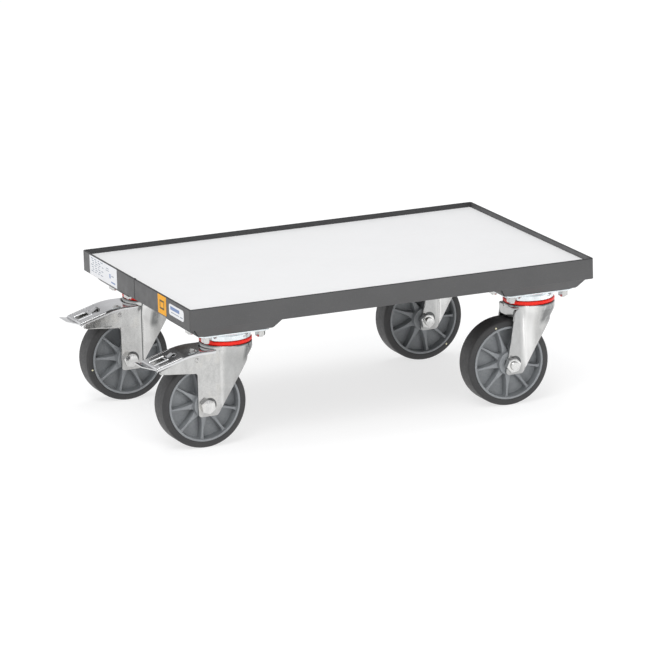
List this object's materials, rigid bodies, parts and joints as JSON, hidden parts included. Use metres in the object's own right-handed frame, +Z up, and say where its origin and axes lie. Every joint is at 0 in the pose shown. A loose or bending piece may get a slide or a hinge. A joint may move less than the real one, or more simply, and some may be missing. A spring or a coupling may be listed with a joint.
{
  "type": "platform trolley",
  "caption": "Low flat platform trolley with a raised steel rim, a laminate deck and swivel castors under folded corner trays; the rear castors have foot brakes.",
  "frame": {"origin": "centre of the load surface, the top of the board", "axes": "+X along the deck from the braked castors at the rear to the plain castors at the front, +Z up out of the load surface"},
  "size_m": [0.666, 0.415, 0.21],
  "materials": {
    "powder_coat": "satin anthracite powder coat with a fine orange peel",
    "laminate": "pale grey conductive laminate on a wood core, matte",
    "label_white": "printed film",
    "label_yellow": "printed film",
    "zinc": "bright zinc plate",
    "bearing_steel": "ground steel",
    "seal_red": "moulded plastic",
    "tyre_rubber": "matte thermoplastic rubber",
    "wheel_grey": "moulded polypropylene",
    "pedal_chrome": "polished pressed steel"
  },
  "bodies": {
    "root": {"frame": "powder_coat", "board": "laminate", "data_label": "label_white", "caution_label": "label_yellow", "maker_label": "label_white", "plate_bolts": "zinc", "plate_washers": "zinc", "plate_nuts": "zinc", "swivel_balls": "bearing_steel", "kingpins": "bearing_steel", "kingpin_nuts": "zinc", "tray_rr": "powder_coat", "tray_rl": "powder_coat", "tray_fr": "powder_coat", "tray_fl": "powder_coat", "plate_rr": "zinc", "plate_rl": "zinc", "plate_fr": "zinc", "plate_fl": "zinc"},
    "swivel_rr": {"fork_rr": "zinc", "seal_rr": "seal_red", "axle_bolt_rr": "zinc", "axle_nut_rr": "zinc", "axle_tube_rr": "bearing_steel", "brake_pins_rr": "zinc", "pedal_spring_rr": "bearing_steel"},
    "wheel_rr": {"tyre_rr": "tyre_rubber", "wheel_centre_rr": "wheel_grey", "bearing_rr": "bearing_steel"},
    "brake_pedal_rr": {"pedal_rr": "pedal_chrome"},
    "brake_lever_rr": {"brake_shoe_rr": "zinc"},
    "swivel_rl": {"fork_rl": "zinc", "seal_rl": "seal_red", "axle_bolt_rl": "zinc", "axle_nut_rl": "zinc", "axle_tube_rl": "bearing_steel", "brake_pins_rl": "zinc", "pedal_spring_rl": "bearing_steel"},
    "wheel_rl": {"tyre_rl": "tyre_rubber", "wheel_centre_rl": "wheel_grey", "bearing_rl": "bearing_steel"},
    "brake_pedal_rl": {"pedal_rl": "pedal_chrome"},
    "brake_lever_rl": {"brake_shoe_rl": "zinc"},
    "swivel_fr": {"fork_fr": "zinc", "seal_fr": "seal_red", "axle_bolt_fr": "zinc", "axle_nut_fr": "zinc", "axle_tube_fr": "bearing_steel"},
    "wheel_fr": {"tyre_fr": "tyre_rubber", "wheel_centre_fr": "wheel_grey", "bearing_fr": "bearing_steel"},
    "swivel_fl": {"fork_fl": "zinc", "seal_fl": "seal_red", "axle_bolt_fl": "zinc", "axle_nut_fl": "zinc", "axle_tube_fl": "bearing_steel"},
    "wheel_fl": {"tyre_fl": "tyre_rubber", "wheel_centre_fl": "wheel_grey", "bearing_fl": "bearing_steel"}
  },
  "joints": [
    {"name": "castor_swivel_rr", "type": "hinge", "parent": "root", "child": "swivel_rr", "pos_m": [-0.2325, -0.148, -0.038], "axis": [0, 0, 1], "continuous": true},
    {"name": "wheel_roll_rr", "type": "hinge", "parent": "swivel_rr", "child": "wheel_rr", "pos_m": [-0.2735, -0.148, -0.1405], "axis": [0, 1, 0], "continuous": true},
    {"name": "pedal_press_rr", "type": "hinge", "parent": "swivel_rr", "child": "brake_pedal_rr", "pos_m": [-0.286, -0.148, -0.074], "axis": [0, -1, 0], "range_deg": [0, 5]},
    {"name": "shoe_swing_rr", "type": "hinge", "parent": "swivel_rr", "child": "brake_lever_rr", "pos_m": [-0.2605, -0.148, -0.071], "axis": [0, -1, 0], "range_deg": [0, 2.5]},
    {"name": "castor_swivel_rl", "type": "hinge", "parent": "root", "child": "swivel_rl", "pos_m": [-0.2325, 0.148, -0.038], "axis": [0, 0, 1], "continuous": true},
    {"name": "wheel_roll_rl", "type": "hinge", "parent": "swivel_rl", "child": "wheel_rl", "pos_m": [-0.2735, 0.148, -0.1405], "axis": [0, 1, 0], "continuous": true},
    {"name": "pedal_press_rl", "type": "hinge", "parent": "swivel_rl", "child": "brake_pedal_rl", "pos_m": [-0.286, 0.148, -0.074], "axis": [0, -1, 0], "range_deg": [0, 5]},
    {"name": "shoe_swing_rl", "type": "hinge", "parent": "swivel_rl", "child": "brake_lever_rl", "pos_m": [-0.2605, 0.148, -0.071], "axis": [0, -1, 0], "range_deg": [0, 2.5]},
    {"name": "castor_swivel_fr", "type": "hinge", "parent": "root", "child": "swivel_fr", "pos_m": [0.2325, -0.148, -0.038], "axis": [0, 0, 1], "continuous": true},
    {"name": "wheel_roll_fr", "type": "hinge", "parent": "swivel_fr", "child": "wheel_fr", "pos_m": [0.1915, -0.148, -0.1405], "axis": [0, 1, 0], "continuous": true},
    {"name": "castor_swivel_fl", "type": "hinge", "parent": "root", "child": "swivel_fl", "pos_m": [0.2325, 0.148, -0.038], "axis": [0, 0, 1], "continuous": true},
    {"name": "wheel_roll_fl", "type": "hinge", "parent": "swivel_fl", "child": "wheel_fl", "pos_m": [0.1915, 0.148, -0.1405], "axis": [0, 1, 0], "continuous": true}
  ],
  "couplings": [
    {"joint": "shoe_swing_rr", "follows": "pedal_press_rr", "ratio": 0.5},
    {"joint": "shoe_swing_rl", "follows": "pedal_press_rl", "ratio": 0.5}
  ]
}
